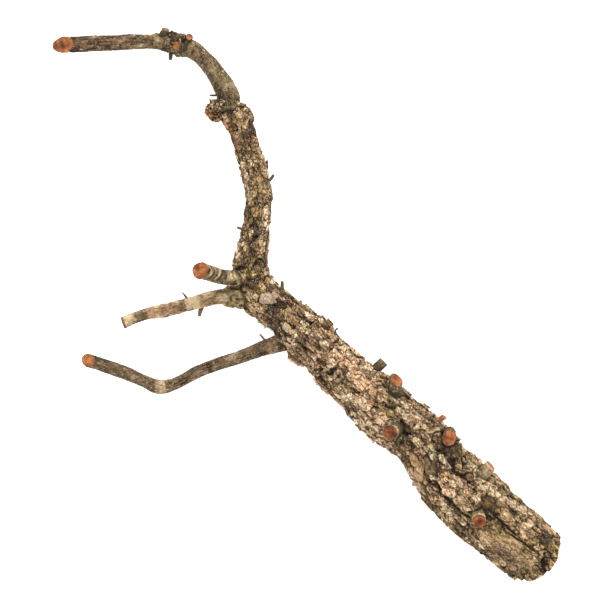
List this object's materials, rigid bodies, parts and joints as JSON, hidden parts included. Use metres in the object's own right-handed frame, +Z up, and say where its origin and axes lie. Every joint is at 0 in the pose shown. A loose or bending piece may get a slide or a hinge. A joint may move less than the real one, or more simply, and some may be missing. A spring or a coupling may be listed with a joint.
{
  "type": "fallen tree branch",
  "caption": "Fallen tree branch lying on the ground: a thick corky-barked limb that forks into a hooked upper limb and bare twigs, with short pruned stubs along it.",
  "frame": {"origin": "on the ground under the middle of the lying branch's bounding box", "axes": "+X from the sawn butt towards the hooked tip, +Z up from the ground the branch lies on, +Y towards the side where the two long twigs point"},
  "size_m": [0.8632, 0.3756, 0.0984],
  "materials": {
    "old_bark": "rough, flaking corky bark with grey-white lichen and dark fissures",
    "young_bark": "thin matt bark, mottled grey and olive with dark lenticels",
    "pruned_wood": "matt orange-brown sawn end grain inside a ring of bark",
    "dead_shoot": "matt dry brown wood"
  },
  "bodies": {
    "root": {"trunk": "old_bark", "upper_limb": "old_bark", "crook_limb": "young_bark", "short_twig": "young_bark", "middle_twig": "young_bark", "lower_twig": "young_bark", "stub_1": "pruned_wood", "stub_2": "pruned_wood", "stub_3": "pruned_wood", "stub_4": "pruned_wood", "stub_5": "pruned_wood", "stub_6": "pruned_wood", "stub_7": "pruned_wood", "stub_8": "pruned_wood", "stub_9": "pruned_wood", "stub_10": "pruned_wood", "crook_stub_1": "pruned_wood", "crook_stub_2": "pruned_wood", "crook_stub_3": "pruned_wood", "shoot_1": "dead_shoot", "shoot_2": "dead_shoot", "shoot_3": "dead_shoot", "shoot_4": "dead_shoot", "shoot_5": "dead_shoot", "shoot_6": "dead_shoot", "shoot_7": "dead_shoot", "shoot_8": "dead_shoot", "shoot_9": "dead_shoot", "shoot_10": "dead_shoot"}
  },
  "joints": []
}
